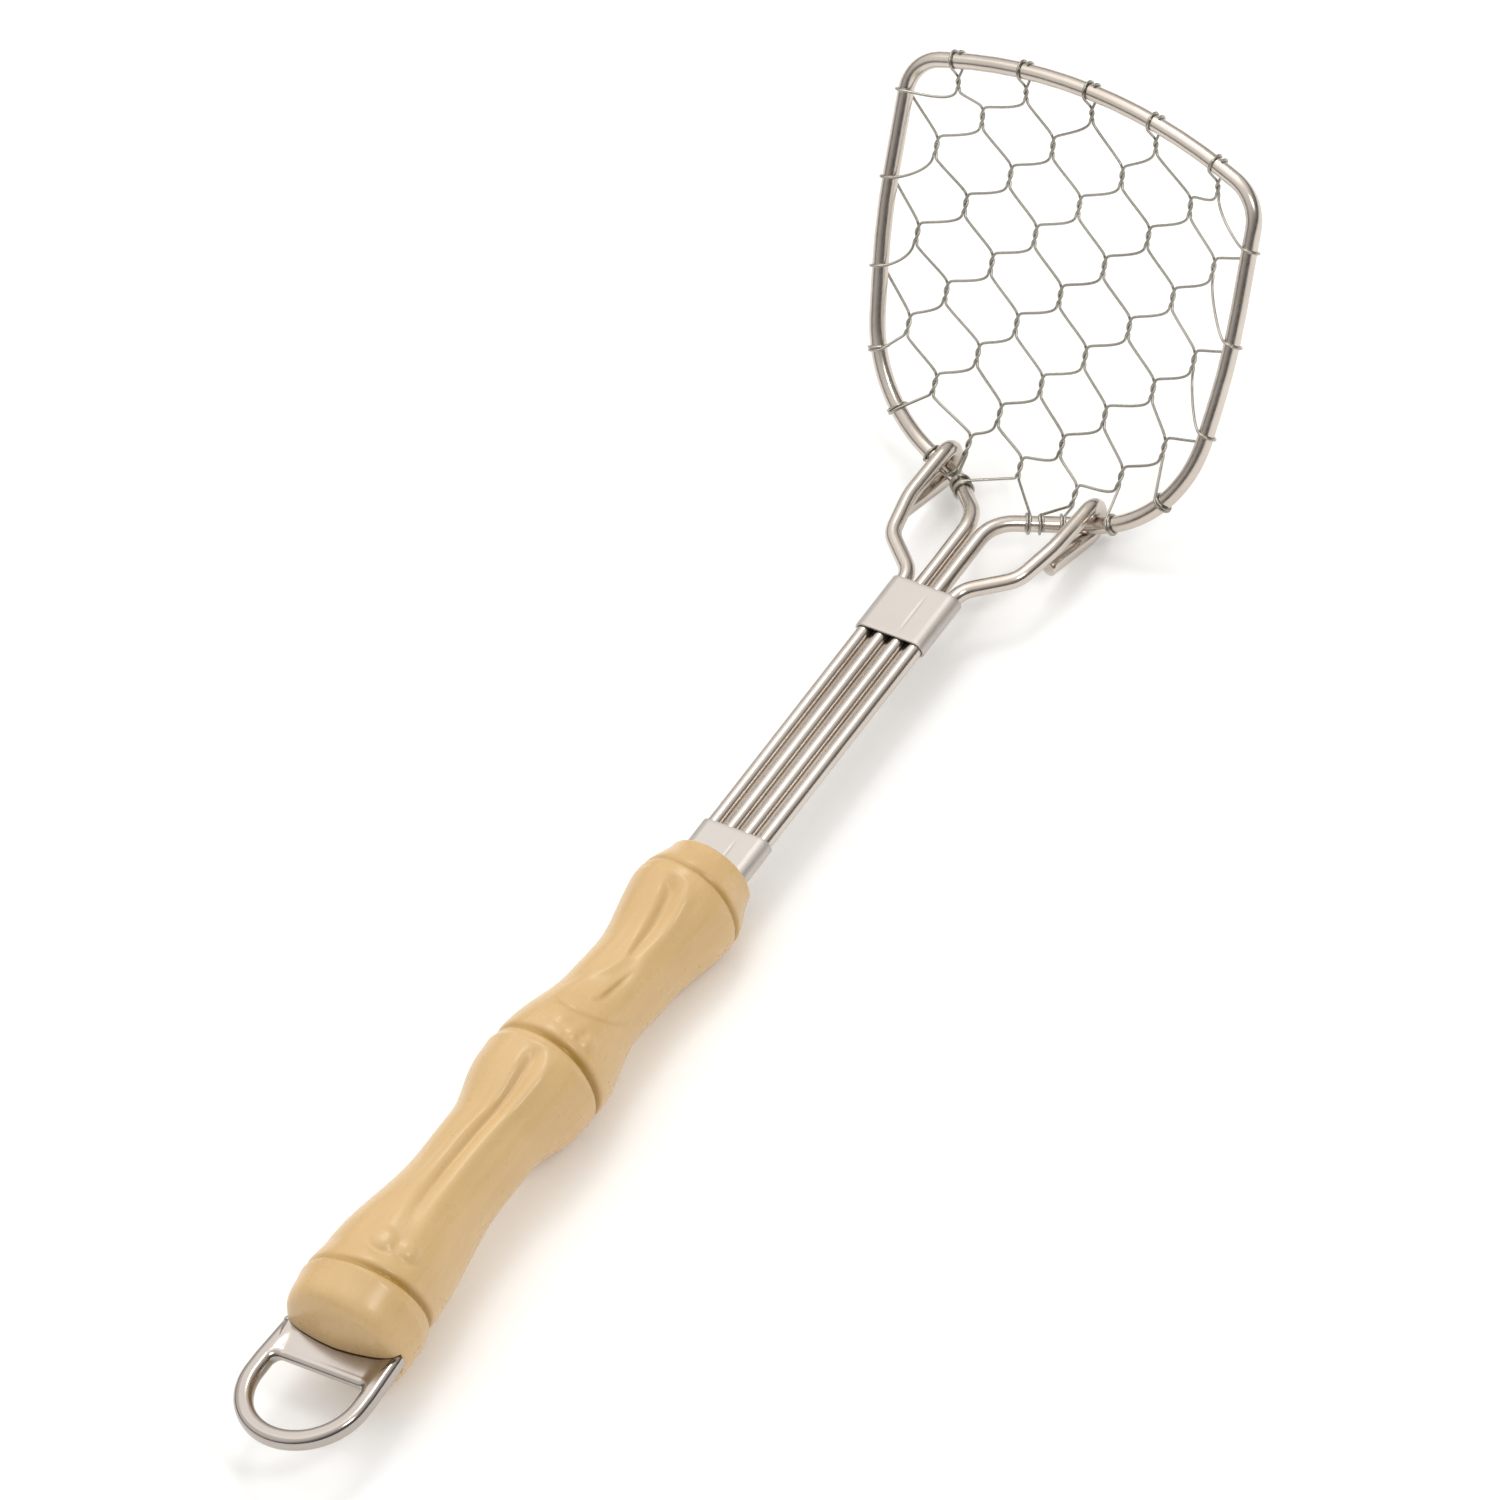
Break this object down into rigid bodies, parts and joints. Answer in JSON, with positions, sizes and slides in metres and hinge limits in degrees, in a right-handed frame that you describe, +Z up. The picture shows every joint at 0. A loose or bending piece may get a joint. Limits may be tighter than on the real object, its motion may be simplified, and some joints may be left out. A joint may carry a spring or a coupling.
{
  "type": "wire net skimmer",
  "caption": "Long-handled kitchen skimmer with an angled, dished net of twisted wire on a rod frame, a bamboo-root shaped grip and a cast hanging ring.",
  "frame": {"origin": "centre of the bounding box in X and Y, at the level of the surface that the tool lies on", "axes": "+X across the tool to the right, +Y along the shaft from the grip towards the head, +Z up, out of the face side; the tool lies on its grip's end bulge and its two hooks"},
  "size_m": [0.0804, 0.2906, 0.0675],
  "materials": {
    "rod_steel": "polished stainless rod",
    "band_steel": "satin stainless sheet",
    "net_steel": "plain stainless wire",
    "cast_metal": "polished casting",
    "grip_resin": "satin cast resin, bamboo coloured"
  },
  "bodies": {
    "root": {"frame_wire": "rod_steel", "brace_left": "rod_steel", "brace_right": "rod_steel", "upper_band": "band_steel", "lower_band": "band_steel", "handle_grip": "grip_resin", "hanging_ring": "cast_metal", "net_wire_01": "net_steel", "net_wire_02": "net_steel", "net_wire_03": "net_steel", "net_wire_04": "net_steel", "net_wire_05": "net_steel", "net_wire_06": "net_steel", "net_wire_07": "net_steel", "net_wire_08": "net_steel", "net_wire_09": "net_steel", "net_wire_10": "net_steel"}
  },
  "joints": []
}
